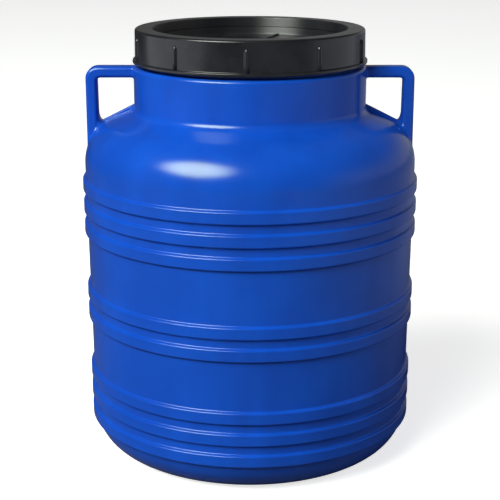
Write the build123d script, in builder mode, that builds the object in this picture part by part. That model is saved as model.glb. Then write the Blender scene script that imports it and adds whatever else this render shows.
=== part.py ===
"""Wide-neck plastic open-head drum with two moulded handles, a screw ring and an inner cover.

Millimetres, +Z up. The drum axis is Z, the drum stands on Z = 0 and the handles lie along X.
"""
from build123d import *
import math
import os

os.makedirs("parts", exist_ok=True)

# Drum moulding: walls
wall_thickness = 2.8
foot_wall_radius = 182.4
wall_draft_angle = 0.72
base_corner_radius = 45.0
base_recess_height = 7.0
base_recess_run = 14.0
foot_ring_width = 19.4
base_blend_radius = 4.0
shoulder_radius = 51.0
shoulder_straight = 1.0
shoulder_slope = 21.4

# Drum moulding: hoops, in a lower group of three, a middle pair and an upper group of three
hoop_height = 15.6
hoop_projection = 3.4
hoop_edge_rise = 1.7
hoop_root_depth = 1.6
hoop_pitch = 24.6
lower_group_height = 43.8
lower_group_count = 3
middle_group_height = 163.7
middle_group_count = 2
upper_group_height = 262.8
upper_group_count = 3

# Drum moulding: collar and threaded neck
collar_radius = 130.0
collar_root_height = 392.6
collar_height = 50.4
collar_edge_radius = 4.0
collar_root_radius = 10.0
neck_radius = 118.5
neck_wall = 5.0
neck_lip_edge = 1.2

# Screw thread, right-handed, on the neck and inside the ring
thread_pitch = 8.0
thread_depth = 3.0
thread_root_width = 4.2
thread_crest_width = 2.2
thread_embed = 0.5
thread_radial_clearance = 0.8
neck_thread_rise = 6.0
neck_thread_turns = 1.85
neck_thread_lead = 1.0
ring_thread_turns = 0.92

# Moulded handles
handle_setback = 3.05
handle_lean = 1.0
handle_bar = 12.8
handle_width = 20.0
handle_drop = 1.5
handle_foot_drop = 20.7
handle_outer_corner = 14.0
handle_inner_corner = 4.0
handle_root_bend = 8.0
handle_edge_bevel = 3.0
handle_sink = 8.0
window_sink = 1.0
web_rise = 6.2
web_slope = 26.6
web_width = 6.0
web_embed = 2.0

# Screw ring
ring_wall = 6.0
ring_wall_draft = 0.4
ring_top_thickness = 4.0
ring_top_edge_radius = 3.0
ring_collar_gap = 3.5
ring_flange_width = 2.5
ring_flange_height = 3.8
ring_flange_edge = 1.2
ring_lip_thickness = 3.5
ring_lip_depth = 10.7
ring_eye_edge = 1.0
grip_count = 10
grip_width = 4.6
grip_projection = 2.2
grip_top_gap = 8.3
grip_first_angle = -91.6

# Inner cover
cover_gap = 0.35
cover_flange_clearance = 1.8
cover_flange_thickness = 3.4
cover_recess_depth = 20.0
cover_recess_draft = 0.6
cover_recess_corner = 3.0
cover_floor_thickness = 3.0
cover_wall_thickness = 3.5
cover_skirt_thickness = 3.0
cover_plug_clearance = 2.0
cover_bead_clearance = 0.6
cover_bead_height = 2.0
cover_bead_drop = 1.15
cover_rib_count = 10
cover_rib_height = 2.0
cover_rib_width = 3.0
cover_rib_embed = 1.0
cover_hub_radius = 34.0
cover_hub_width = 4.0

# Gasket
gasket_thickness = 2.0
gasket_seat_gap = 0.3
gasket_cover_gap = 0.35
gasket_plug_clearance = 0.6
gasket_neck_setback = 0.3
gasket_edge_radius = 0.5

# Sizes that follow from the values above
wall_flare = math.tan(math.radians(wall_draft_angle))
shoulder_fall = math.tan(math.radians(shoulder_slope))
shoulder_rise = collar_root_height - (foot_wall_radius - collar_radius) * shoulder_fall
shoulder_height = shoulder_rise / (1.0 + wall_flare * shoulder_fall)
shoulder_wall_radius = foot_wall_radius + wall_flare * shoulder_height
collar_top_height = collar_root_height + collar_height
foot_ring_inner_radius = foot_wall_radius - base_corner_radius - foot_ring_width
base_recess_radius = foot_ring_inner_radius - base_recess_run

half_turn = math.tan(math.radians(90.0 - shoulder_slope) / 2.0)
neck_foot_height = collar_root_height + collar_root_radius * half_turn
shoulder_length = math.hypot(shoulder_wall_radius - collar_radius, collar_root_height - shoulder_height)
shoulder_room = shoulder_length - collar_root_radius * half_turn - shoulder_straight
shoulder_bend = min(shoulder_radius, shoulder_room / half_turn)

neck_bore_radius = neck_radius - neck_wall
neck_thread_height = collar_top_height + neck_thread_rise
neck_thread_end = neck_thread_height + thread_pitch * neck_thread_turns + thread_root_width / 2.0
neck_lip_height = neck_thread_end + neck_thread_lead

handle_reach = shoulder_wall_radius - handle_setback
handle_top_height = collar_top_height - handle_drop
handle_foot_height = shoulder_height - handle_foot_drop
window_reach = handle_reach - handle_bar
window_top_height = handle_top_height - handle_bar
handle_start = collar_radius - handle_sink
web_fall = math.tan(math.radians(web_slope))
web_top_height = collar_root_height + web_rise
web_end = window_reach + web_embed

ring_bore_radius = neck_radius + thread_depth + thread_radial_clearance
cover_plug_radius = neck_bore_radius - cover_plug_clearance
cover_bead_radius = neck_bore_radius - cover_bead_clearance
cover_flange_radius = ring_bore_radius - cover_flange_clearance
gasket_bore_radius = cover_plug_radius + gasket_plug_clearance
gasket_outer_radius = neck_radius - gasket_neck_setback

gasket_base_height = neck_lip_height + gasket_seat_gap
cover_flange_underside = gasket_base_height + gasket_thickness + gasket_cover_gap
cover_flange_top = cover_flange_underside + cover_flange_thickness
cover_plug_foot = gasket_base_height - thread_pitch - cover_bead_drop - cover_bead_height

ring_wall_radius = ring_bore_radius + ring_wall
ring_flange_radius = ring_wall_radius + ring_flange_width
ring_rim_radius = ring_wall_radius - ring_wall_draft
ring_eye_radius = cover_plug_radius - cover_wall_thickness
ring_lip_radius = ring_eye_radius + ring_lip_thickness
ring_bottom_height = collar_top_height + ring_collar_gap
ring_lip_height = cover_flange_top + cover_gap
ring_top_height = ring_lip_height + ring_lip_depth
ring_thread_height = neck_thread_height + thread_pitch / 2.0

cover_floor_top = ring_top_height - cover_recess_depth
cover_floor_underside = cover_floor_top - cover_floor_thickness
cover_recess_radius = ring_eye_radius - cover_recess_draft

hoop_heights = [lower_group_height + step * hoop_pitch for step in range(lower_group_count)]
hoop_heights += [middle_group_height + step * hoop_pitch for step in range(middle_group_count)]
hoop_heights += [upper_group_height + step * hoop_pitch for step in range(upper_group_count)]

# Corners of the drum body's section as (radius, height), from the base centre to the collar top
body_corners = [
    (0.0, base_recess_height),
    (base_recess_radius, base_recess_height),
    (foot_ring_inner_radius, 0.0),
    (foot_wall_radius, 0.0),
    (shoulder_wall_radius, shoulder_height),
    (collar_radius, collar_root_height),
    (collar_radius, collar_top_height),
    (0.0, collar_top_height),
]


def meeting_point(start, start_run, other, other_run):
    """Point where the line from start along start_run meets the line from other along other_run."""
    cross = start_run[0] * other_run[1] - start_run[1] * other_run[0]
    gap = (other[0] - start[0], other[1] - start[1])
    share = (gap[0] * other_run[1] - gap[1] * other_run[0]) / cross
    return (start[0] + share * start_run[0], start[1] + share * start_run[1])


def inset_corners(corners, inset):
    """Move every line of an open section inwards by the inset and find its corners again."""
    lines = []
    for first, last in zip(corners, corners[1:]):
        run = (last[0] - first[0], last[1] - first[1])
        length = math.hypot(run[0], run[1])
        shifted = (first[0] - run[1] / length * inset, first[1] + run[0] / length * inset)
        lines.append((shifted, run))
    moved = [(0.0, lines[0][0][1])]
    for before, after in zip(lines, lines[1:]):
        moved.append(meeting_point(before[0], before[1], after[0], after[1]))
    moved.append((0.0, lines[-1][0][1]))
    return moved


def revolve_section(corners, radii, mode=Mode.ADD):
    """Turn a closed section, given by its corners and their rounding radii, about the drum axis."""
    with BuildSketch(Plane.XZ) as section:
        with BuildLine():
            FilletPolyline(*corners, radius=radii, close=True)
        make_face()
    revolve(section.sketch, axis=Axis.Z, mode=mode)


def revolve_body(inset, mode=Mode.ADD):
    """Turn the drum body's section, moved inwards by the inset, about the drum axis."""
    radii = [
        0.0,
        base_blend_radius + inset,
        max(base_blend_radius - inset, 0.0),
        base_corner_radius - inset,
        shoulder_bend - inset,
        collar_root_radius + inset,
        collar_edge_radius - inset,
        0.0,
    ]
    revolve_section(inset_corners(body_corners, inset), radii, mode)


def revolve_hoops(inset, mode=Mode.ADD):
    """Turn every hoop band, or the groove behind it when the inset is above zero."""
    half = hoop_height / 2.0 - inset
    for height in hoop_heights:
        wall = foot_wall_radius + wall_flare * height - inset
        crest = wall + hoop_projection
        root = wall - hoop_root_depth
        corners = [
            (root, height - half),
            (wall, height - half),
            (crest, height - half + hoop_edge_rise),
            (crest, height + half - hoop_edge_rise),
            (wall, height + half),
            (root, height + half),
        ]
        revolve_section(corners, 0.0, mode)


def sweep_thread(radius, height, turns, direction):
    """Sweep a thread ridge along a helix; direction is 1 for a ridge outwards and -1 inwards."""
    with BuildLine(mode=Mode.PRIVATE) as path:
        Helix(pitch=thread_pitch, height=thread_pitch * turns, radius=radius,
              center=(0, 0, height))
    helix = path.wires()[0]
    foot = -thread_embed * direction
    crest = thread_depth * direction
    with BuildSketch(Plane(origin=helix @ 0, x_dir=(1, 0, 0), z_dir=helix % 0)) as ridge:
        with BuildLine():
            Polyline((foot, -thread_root_width / 2.0),
                     (foot, thread_root_width / 2.0),
                     (crest, thread_crest_width / 2.0),
                     (crest, -thread_crest_width / 2.0),
                     close=True)
        make_face()
    sweep(ridge.sketch, path=helix, is_frenet=True)


# ---------------------------------------------------------------- drum shell and threaded neck
with BuildPart() as body_envelope:
    revolve_body(0.0)
    revolve_hoops(0.0)

with BuildPart() as drum_moulding:
    add(body_envelope.part)
    revolve_body(wall_thickness, Mode.SUBTRACT)
    revolve_hoops(wall_thickness, Mode.SUBTRACT)
    revolve_section([(neck_bore_radius, collar_top_height - wall_thickness),
                     (neck_radius, collar_top_height - wall_thickness),
                     (neck_radius, neck_lip_height),
                     (neck_bore_radius, neck_lip_height)],
                    [0.0, 0.0, neck_lip_edge, neck_lip_edge])
    revolve_section([(0.0, collar_top_height - wall_thickness),
                     (neck_bore_radius, collar_top_height - wall_thickness),
                     (neck_bore_radius, collar_top_height),
                     (0.0, collar_top_height)],
                    0.0, Mode.SUBTRACT)

with BuildPart() as drum_shell:
    add(drum_moulding.part)
    split(bisect_by=Plane.XY.offset(neck_foot_height), keep=Keep.BOTTOM)
drum_shell.part.label = "drum_shell"
export_step(drum_shell.part, "parts/drum_shell.step")

with BuildPart() as threaded_neck:
    add(drum_moulding.part)
    split(bisect_by=Plane.XY.offset(neck_foot_height), keep=Keep.TOP)
    sweep_thread(neck_radius, neck_thread_height, neck_thread_turns, 1)
threaded_neck.part.label = "threaded_neck"
export_step(threaded_neck.part, "parts/threaded_neck.step")

# ---------------------------------------------------------------- handles
with BuildPart() as handle_right:
    with BuildSketch(Plane.XZ):
        with BuildLine():
            FilletPolyline((handle_start, handle_top_height),
                           (handle_reach, handle_top_height),
                           (handle_reach - handle_lean, handle_foot_height),
                           (handle_start, handle_foot_height),
                           radius=[0.0, handle_outer_corner, 0.0, 0.0], close=True)
        make_face()
        window_foot = collar_root_height - window_sink
        window_foot_outer = window_foot - (window_reach - collar_radius) * shoulder_fall
        window_foot_inner = window_foot + handle_sink * shoulder_fall
        with BuildLine():
            FilletPolyline((handle_start, window_top_height),
                           (window_reach, window_top_height),
                           (window_reach, window_foot_outer),
                           (handle_start, window_foot_inner),
                           radius=[0.0, handle_inner_corner, handle_root_bend, 0.0], close=True)
        make_face(mode=Mode.SUBTRACT)
    extrude(amount=handle_width / 2.0, both=True)
    sides = handle_right.faces().filter_by(Axis.Y)
    chamfer(sides.edges(), length=handle_edge_bevel)
    with BuildSketch(Plane.XZ):
        with BuildLine():
            Polyline((handle_start, web_top_height + handle_sink * web_fall),
                     (web_end, web_top_height - (web_end - collar_radius) * web_fall),
                     (web_end, handle_foot_height),
                     (handle_start, handle_foot_height), close=True)
        make_face()
    extrude(amount=web_width / 2.0, both=True)
    add(body_envelope.part, mode=Mode.SUBTRACT)
handle_right.part.label = "handle_right"
export_step(handle_right.part, "parts/handle_right.step")

with BuildPart() as handle_left:
    mirror(handle_right.part, about=Plane.YZ)
handle_left.part.label = "handle_left"
export_step(handle_left.part, "parts/handle_left.step")

# ---------------------------------------------------------------- gasket
with BuildPart() as gasket:
    revolve_section([(gasket_bore_radius, gasket_base_height),
                     (gasket_outer_radius, gasket_base_height),
                     (gasket_outer_radius, gasket_base_height + gasket_thickness),
                     (gasket_bore_radius, gasket_base_height + gasket_thickness)],
                    gasket_edge_radius)
gasket.part.label = "gasket"
export_step(gasket.part, "parts/gasket.step")

# ---------------------------------------------------------------- inner cover
with BuildPart() as inner_cover:
    revolve_section([(0.0, cover_floor_underside),
                     (cover_plug_radius - cover_skirt_thickness, cover_floor_underside),
                     (cover_plug_radius - cover_skirt_thickness, cover_plug_foot),
                     (cover_bead_radius, cover_plug_foot),
                     (cover_bead_radius, cover_plug_foot + cover_bead_height / 2.0),
                     (cover_plug_radius, cover_plug_foot + cover_bead_height),
                     (cover_plug_radius, cover_flange_underside),
                     (cover_flange_radius, cover_flange_underside),
                     (cover_flange_radius, cover_flange_top),
                     (ring_eye_radius, cover_flange_top),
                     (cover_recess_radius, cover_floor_top),
                     (0.0, cover_floor_top)],
                    [0.0] * 10 + [cover_recess_corner, 0.0])
    rib_start = cover_hub_radius + cover_hub_width / 2.0
    rib_end = cover_recess_radius + cover_rib_embed
    with BuildSketch(Plane.XY.offset(cover_floor_top - cover_rib_embed)):
        with PolarLocations((rib_start + rib_end) / 2.0, cover_rib_count):
            Rectangle(rib_end - rib_start, cover_rib_width)
        Circle(cover_hub_radius + cover_hub_width)
        Circle(cover_hub_radius, mode=Mode.SUBTRACT)
    extrude(amount=cover_rib_embed + cover_rib_height)
inner_cover.part.label = "inner_cover"
export_step(inner_cover.part, "parts/inner_cover.step")

# ---------------------------------------------------------------- screw ring
with BuildPart() as screw_ring:
    revolve_section([(ring_bore_radius, ring_bottom_height),
                     (ring_flange_radius, ring_bottom_height),
                     (ring_flange_radius, ring_bottom_height + ring_flange_height),
                     (ring_wall_radius, ring_bottom_height + ring_flange_height),
                     (ring_rim_radius, ring_top_height),
                     (ring_eye_radius, ring_top_height),
                     (ring_eye_radius, ring_lip_height),
                     (ring_lip_radius, ring_lip_height),
                     (ring_lip_radius, ring_top_height - ring_top_thickness),
                     (ring_bore_radius, ring_top_height - ring_top_thickness)],
                    [0.0, ring_flange_edge, ring_flange_edge, 0.0, ring_top_edge_radius,
                     ring_eye_edge, 0.0, 0.0, 0.0, 0.0])
    grip_foot = ring_bottom_height + ring_flange_height / 2.0
    grip_length = ring_top_height - grip_top_gap - grip_foot
    with BuildSketch(Plane.XY.offset(grip_foot)):
        with PolarLocations(ring_rim_radius, grip_count, start_angle=grip_first_angle):
            Ellipse(ring_wall_draft + grip_projection, grip_width / 2.0)
    extrude(amount=grip_length)
    sweep_thread(ring_bore_radius, ring_thread_height, ring_thread_turns, -1)
screw_ring.part.label = "screw_ring"
export_step(screw_ring.part, "parts/screw_ring.step")
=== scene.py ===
"""Visual model of a wide-neck plastic drum with moulded handles, a screw ring and an inner cover.

Sizes are millimetres and turn into metres where a mesh is made. +Z is up and the drum axis is Z.
"""

import bpy
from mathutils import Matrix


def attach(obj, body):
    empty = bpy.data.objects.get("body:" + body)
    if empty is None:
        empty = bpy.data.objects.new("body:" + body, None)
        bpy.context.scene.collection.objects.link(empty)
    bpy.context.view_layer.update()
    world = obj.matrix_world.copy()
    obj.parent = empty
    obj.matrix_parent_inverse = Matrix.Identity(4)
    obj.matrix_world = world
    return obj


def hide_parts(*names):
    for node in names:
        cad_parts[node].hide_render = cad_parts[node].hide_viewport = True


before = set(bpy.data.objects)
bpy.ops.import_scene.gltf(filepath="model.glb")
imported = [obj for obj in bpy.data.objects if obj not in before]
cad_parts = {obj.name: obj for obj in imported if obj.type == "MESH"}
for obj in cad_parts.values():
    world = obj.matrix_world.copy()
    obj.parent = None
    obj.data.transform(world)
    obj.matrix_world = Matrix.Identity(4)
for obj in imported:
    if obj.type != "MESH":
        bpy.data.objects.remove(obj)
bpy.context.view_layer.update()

import bpy
import logging
import math
from collections.abc import Sequence
from dataclasses import dataclass, field
from enum import Enum
from mathutils import Vector
from typing import Any

logging.basicConfig(level=logging.INFO, format="%(levelname)s %(message)s")
LOG = logging.getLogger("drum")

MM = 0.001
CHORD_ERROR = 0.035
LARGEST_ARC_STEP = math.radians(18.0)
MERGE_DISTANCE = 0.008 * MM
STRAIGHT_TURN = 1e-4
SMALLEST_INSET_BEND = 0.6
MEETING_HALVINGS = 30
SHOULDER_FOOT = 325.0
WHITE = (1.0, 1.0, 1.0, 1.0)
DOWN = Vector((0.0, 0.0, -1.0))
SMOOTH = {"interpolation_type": "SMOOTHSTEP"}

# The Mix node's sockets go by number, because those for numbers and colours share their names.
NUMBER_A, NUMBER_B = 2, 3
COLOUR_A, COLOUR_B, COLOUR_OUT = 6, 7, 2

Corner = tuple[float, float, float]
Face = tuple[int, ...]


class Side(Enum):
    """The two sides of the drum that carry a handle, with the sign of X there."""

    RIGHT = 1.0
    LEFT = -1.0


class Slot(Enum):
    """The record's material slots."""

    DRUM = "drum_plastic"
    LID = "lid_plastic"
    GASKET = "gasket_rubber"


# The finished pieces of each slot. The studio's lid cards look their pieces up here.
PIECES: dict[Slot, list[bpy.types.Object]] = {slot: [] for slot in Slot}


# ------------------------------------------------------------------------------------------ nodes
def cleared_tree(owner: bpy.types.ID) -> bpy.types.NodeTree:
    """Give a material, a world or a light an empty node tree.

    Args:
        owner: The material, world or light.

    Returns:
        Its tree.
    """
    owner.use_nodes = True
    owner.node_tree.nodes.clear()
    return owner.node_tree


def set_inputs(node: bpy.types.Node, inputs: dict[str | int, Any]) -> None:
    """Give a node's inputs their links or plain values.

    Args:
        node: The node.
        inputs: Input names or numbers, each with an output socket to link or a plain value.
    """
    for key, value in inputs.items():
        if isinstance(value, bpy.types.NodeSocket):
            node.id_data.links.new(value, node.inputs[key])
        else:
            node.inputs[key].default_value = value


def add_node(tree: bpy.types.NodeTree, kind: str, settings: dict[str, Any] | None = None,
             links: dict[str | int, Any] | None = None) -> bpy.types.Node:
    """Add a node, set its properties, and give its inputs a value or a link.

    Args:
        tree: The node tree that gets the node.
        kind: The node's type name.
        settings: Property names and their values.
        links: Input names or numbers, each with an output socket to link or a plain value.

    Returns:
        The new node.
    """
    node = tree.nodes.new(kind)
    for name, value in (settings or {}).items():
        setattr(node, name, value)
    set_inputs(node, links or {})
    return node


def linear_colour(hex_code: str) -> tuple[float, float, float, float]:
    """Turn an sRGB hex colour into linear values.

    Args:
        hex_code: The colour as "#RRGGBB".

    Returns:
        Linear red, green, blue and an alpha of one.
    """
    channels = [int(hex_code[start:start + 2], 16) / 255.0 for start in (1, 3, 5)]
    turned = [c / 12.92 if c <= 0.04045 else ((c + 0.055) / 1.055) ** 2.4 for c in channels]
    return (turned[0], turned[1], turned[2], 1.0)


# --------------------------------------------------------------------------------------- sections
@dataclass(frozen=True)
class SectionPoint:
    """A point of a turned section with the direction its surface faces."""

    radius: float
    height: float
    normal_radius: float
    normal_height: float


def turn_vector(vector: tuple[float, float], angle: float) -> tuple[float, float]:
    """Turn a flat vector anticlockwise by an angle in radians."""
    cosine, sine = math.cos(angle), math.sin(angle)
    return (vector[0] * cosine - vector[1] * sine, vector[0] * sine + vector[1] * cosine)


def corner_points(before: Corner, corner: Corner, after: Corner) -> list[SectionPoint]:
    """Round one corner of a section. The surface faces the right of its direction of travel.

    Args:
        before: The corner before it.
        corner: The corner's radius from the axis, its height and its rounding radius.
        after: The corner after it.

    Returns:
        The points of the rounding, or one point where the corner is sharp.
    """
    arriving = Vector((corner[0] - before[0], corner[1] - before[1])).normalized()
    leaving = Vector((after[0] - corner[0], after[1] - corner[1])).normalized()
    turn = math.atan2(arriving.cross(leaving), arriving.dot(leaving))
    facing = (arriving.y, -arriving.x)
    if corner[2] <= 0.0 or abs(turn) < STRAIGHT_TURN:
        middle = turn_vector(facing, turn / 2.0)
        return [SectionPoint(corner[0], corner[1], middle[0], middle[1])]
    sign = math.copysign(1.0, turn)
    tangent = corner[2] * math.tan(abs(turn) / 2.0)
    start = (corner[0] - arriving.x * tangent, corner[1] - arriving.y * tangent)
    centre = (start[0] - facing[0] * corner[2] * sign, start[1] - facing[1] * corner[2] * sign)
    step = min(2.0 * math.acos(max(1.0 - CHORD_ERROR / corner[2], 0.0)), LARGEST_ARC_STEP)
    count = max(2, math.ceil(abs(turn) / step))
    points = []
    for index in range(count + 1):
        normal = turn_vector(facing, turn * index / count)
        points.append(SectionPoint(centre[0] + normal[0] * corner[2] * sign,
                                   centre[1] + normal[1] * corner[2] * sign,
                                   normal[0], normal[1]))
    return points


def open_section(corners: Sequence[Corner]) -> list[SectionPoint]:
    """Round the inner corners of a section that starts and ends on the axis or at a cut.

    Args:
        corners: The corners in order of travel.

    Returns:
        The section's points.
    """
    points = []
    for index, corner in enumerate(corners):
        if 0 < index < len(corners) - 1:
            points += corner_points(corners[index - 1], corner, corners[index + 1])
            continue
        first, last = (corners[0], corners[1]) if index == 0 else (corners[-2], corners[-1])
        run = Vector((last[0] - first[0], last[1] - first[1])).normalized()
        points.append(SectionPoint(corner[0], corner[1], run.y, -run.x))
    return points


def closed_section(corners: Sequence[Corner]) -> list[SectionPoint]:
    """Round every corner of a section that closes on itself.

    Args:
        corners: The corners in order of travel, each one once.

    Returns:
        The section's points, the first one again at the end.
    """
    points = []
    for index, corner in enumerate(corners):
        after = corners[(index + 1) % len(corners)]
        points += corner_points(corners[index - 1], corner, after)
    return points + points[:1]


def meeting_point(start: Vector, start_run: Vector, other: Vector, other_run: Vector) -> Vector:
    """Find where two flat lines meet, each given by a point and its direction."""
    share = (other - start).cross(other_run) / start_run.cross(other_run)
    return start + start_run * share


def inset_corners(corners: Sequence[Corner], inset: float) -> list[Corner]:
    """Move an open section inwards, to the left of its travel, and keep its roundings concentric.

    Args:
        corners: The corners.
        inset: The distance.

    Returns:
        The moved corners.
    """
    lines = []
    for first, last in zip(corners, corners[1:]):
        run = Vector((last[0] - first[0], last[1] - first[1])).normalized()
        lines.append((Vector((first[0] - run.y * inset, first[1] + run.x * inset)), run))
    moved = [(lines[0][0].x, lines[0][0].y, 0.0)]
    for corner, before, after in zip(corners[1:], lines, lines[1:]):
        point = meeting_point(before[0], before[1], after[0], after[1])
        change = -math.copysign(inset, before[1].cross(after[1]))
        bend = max(corner[2] + change, SMALLEST_INSET_BEND) if corner[2] else 0.0
        moved.append((point.x, point.y, bend))
    end, run = lines[-1]
    moved.append((end.x, corners[-1][1], 0.0))
    return moved


def reversed_section(points: Sequence[SectionPoint]) -> list[SectionPoint]:
    """Travel a section backwards, so that it faces the other way."""
    return [SectionPoint(point.radius, point.height, -point.normal_radius, -point.normal_height)
            for point in reversed(points)]


class OuterSkin:
    """The outer surface of a turned section, which other shapes run out onto."""

    def __init__(self, points: Sequence[SectionPoint], lowest: float) -> None:
        """Keep the part of a section above a height.

        Args:
            points: The section's points.
            lowest: The height where the kept part starts.
        """
        kept = [point for point in points if point.height >= lowest]
        self.pieces = list(zip(kept, kept[1:]))

    def nearest(self, place: Vector) -> tuple[Vector, Vector, float]:
        """Find the nearest point of the skin.

        Args:
            place: A point in millimetres.

        Returns:
            The point of the skin, the direction it faces, and how far outside it the place is.
        """
        radius = math.hypot(place.x, place.y)
        spoke = Vector((place.x / radius, place.y / radius, 0.0))
        best = (math.inf, 0.0, 0.0, 0.0, 0.0)
        for first, last in self.pieces:
            run = (last.radius - first.radius, last.height - first.height)
            reach = (radius - first.radius, place.z - first.height)
            share = (run[0] * reach[0] + run[1] * reach[1]) / (run[0] ** 2 + run[1] ** 2)
            share = min(max(share, 0.0), 1.0)
            found = (first.radius + share * run[0], first.height + share * run[1])
            distance = math.hypot(radius - found[0], place.z - found[1])
            if distance < best[0]:
                best = (distance, found[0], found[1],
                        first.normal_radius + share * (last.normal_radius - first.normal_radius),
                        first.normal_height + share * (last.normal_height - first.normal_height))
        normal = (spoke * best[3] + Vector((0.0, 0.0, best[4]))).normalized()
        surface = spoke * best[1] + Vector((0.0, 0.0, best[2]))
        return surface, normal, (place - surface).dot(normal)

    def meet(self, start: Vector, direction: Vector, reach: float) -> Vector:
        """Follow a line from outside until it meets the skin.

        Args:
            start: A point outside the skin.
            direction: The line's unit direction.
            reach: A length that ends inside the skin.

        Returns:
            The point where the line meets the skin.
        """
        outside, inside = 0.0, reach
        for _ in range(MEETING_HALVINGS):
            middle = (outside + inside) / 2.0
            if self.nearest(start + direction * middle)[2] > 0.0:
                outside = middle
            else:
                inside = middle
        return start + direction * inside


# ----------------------------------------------------------------------------------------- meshes
@dataclass
class Shell:
    """Points in metres, faces and point normals, before they become a mesh."""

    points: list[Vector] = field(default_factory=list)
    faces: list[Face] = field(default_factory=list)
    normals: list[Vector] = field(default_factory=list)

    def include(self, other: "Shell") -> "Shell":
        """Take another shell in with this one.

        Args:
            other: The other shell, which is left as it is.

        Returns:
            This shell.
        """
        offset = len(self.points)
        self.points += other.points
        self.normals += other.normals
        self.faces += [tuple(index + offset for index in face) for face in other.faces]
        return self

    def to_mesh(self, name: str) -> bpy.types.Mesh:
        """Make a smooth mesh, with the point normals where the shell has them.

        Args:
            name: The mesh's name.

        Returns:
            The mesh.
        """
        mesh = bpy.data.meshes.new(name)
        mesh.from_pydata([tuple(point) for point in self.points], [], self.faces)
        mesh.polygons.foreach_set("use_smooth", [True] * len(mesh.polygons))
        mesh.update()
        if self.normals:
            mesh.normals_split_custom_set_from_vertices([tuple(n) for n in self.normals])
        return mesh


def read_shell(mesh: bpy.types.Mesh) -> Shell:
    """Read a mesh back as a shell, with the normals its tree stored or its own ones.

    Args:
        mesh: A mesh in metres.

    Returns:
        The shell.
    """
    stored = mesh.attributes.get("turned_normal")
    if stored is None:
        normals = [Vector(normal.vector) for normal in mesh.vertex_normals]
    else:
        normals = [Vector(item.vector).normalized() for item in stored.data]
    return Shell([vertex.co.copy() for vertex in mesh.vertices],
                 [tuple(polygon.vertices) for polygon in mesh.polygons], normals)


def tube_faces(rows: int, count: int) -> list[Face]:
    """Join rings of points that follow each other.

    Args:
        rows: The number of rings.
        count: The number of points in each.

    Returns:
        The faces between them.
    """
    return [(row * count + step, row * count + (step + 1) % count,
             (row + 1) * count + (step + 1) % count, (row + 1) * count + step)
            for row in range(rows - 1) for step in range(count)]


def lofted(rings: Sequence[Sequence[Vector]]) -> Shell:
    """Join rings of points into a closed shell with flat ends.

    Args:
        rings: The rings in metres, with as many points each.

    Returns:
        The shell, without point normals, so that its mesh works them out.
    """
    count, last = len(rings[0]), (len(rings) - 1) * len(rings[0])
    ends = [tuple(reversed(range(count))), tuple(range(last, last + count))]
    return Shell([point for ring in rings for point in ring], tube_faces(len(rings), count) + ends)


def linked_object(name: str, data: bpy.types.ID) -> bpy.types.Object:
    """Make an object and link it into the scene.

    Args:
        name: The object's name.
        data: Its mesh, light or camera.

    Returns:
        The object.
    """
    holder = bpy.data.objects.new(name, data)
    bpy.context.scene.collection.objects.link(holder)
    return holder


def section_object(name: str, section: Sequence[SectionPoint]) -> bpy.types.Object:
    """Lay a section out as a chain of edges in the XZ plane.

    Args:
        name: The object's name.
        section: The section's points.

    Returns:
        The object, with the section's normals in an attribute.
    """
    mesh = bpy.data.meshes.new(name)
    mesh.from_pydata([(p.radius * MM, 0.0, p.height * MM) for p in section],
                     [(index, index + 1) for index in range(len(section) - 1)], [])
    normals = mesh.attributes.new("section_normal", "FLOAT_VECTOR", "POINT")
    for item, point in zip(normals.data, section):
        item.vector = (point.normal_radius, 0.0, point.normal_height)
    return linked_object(name, mesh)


def shell_object(name: str, shell: Shell) -> bpy.types.Object:
    """Link a shell into the scene as an object."""
    return linked_object(name, shell.to_mesh(name))


class Generator:
    """A Geometry Nodes tree with named inputs that makes one plain mesh at a time."""

    def __init__(self, name: str, inputs: dict[str, str]) -> None:
        """Start the tree with its inputs.

        Args:
            name: The tree's name.
            inputs: Input names and their socket types. The first one is the source geometry.
        """
        self.tree = bpy.data.node_groups.new(name, "GeometryNodeTree")
        for label, kind in inputs.items():
            self.tree.interface.new_socket(label, in_out="INPUT", socket_type=kind)
        self.tree.interface.new_socket("Geometry", in_out="OUTPUT",
                                       socket_type="NodeSocketGeometry")
        self.source = self.add("NodeGroupInput")

    def add(self, kind: str, settings: dict[str, Any] | None = None,
            links: dict[str | int, Any] | None = None) -> bpy.types.Node:
        """Add a node to this tree."""
        return add_node(self.tree, kind, settings, links)

    def end(self, geometry: bpy.types.NodeSocket) -> None:
        """Close the tree: smooth faces, real copies, and the piece's material.

        Args:
            geometry: The finished geometry.
        """
        smooth = self.add("GeometryNodeSetShadeSmooth", None, {"Geometry": geometry})
        real = self.add("GeometryNodeRealizeInstances", None, {"Geometry": smooth.outputs[0]})
        dressed = self.add("GeometryNodeSetMaterial", None,
                           {"Geometry": real.outputs[0],
                            "Material": self.source.outputs["Material"]})
        self.add("NodeGroupOutput", None, {0: dressed.outputs[0]})

    def run(self, source: bpy.types.Object, values: dict[str, Any]) -> Shell:
        """Run the tree on an object, which is used up.

        Args:
            source: The object that holds the source geometry.
            values: The inputs' names and values.

        Returns:
            The result.
        """
        modifier = source.modifiers.new(self.tree.name, "NODES")
        modifier.node_group = self.tree
        sockets = {item.name: item.identifier for item in self.tree.interface.items_tree
                   if item.in_out == "INPUT"}
        for name, value in values.items():
            modifier[sockets[name]] = value
        bpy.context.view_layer.update()
        graph = bpy.context.evaluated_depsgraph_get()
        mesh = bpy.data.meshes.new_from_object(source.evaluated_get(graph), depsgraph=graph)
        source.modifiers.remove(modifier)
        shell = read_shell(mesh)
        bpy.data.objects.remove(source)
        bpy.data.meshes.remove(mesh)
        return shell


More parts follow.
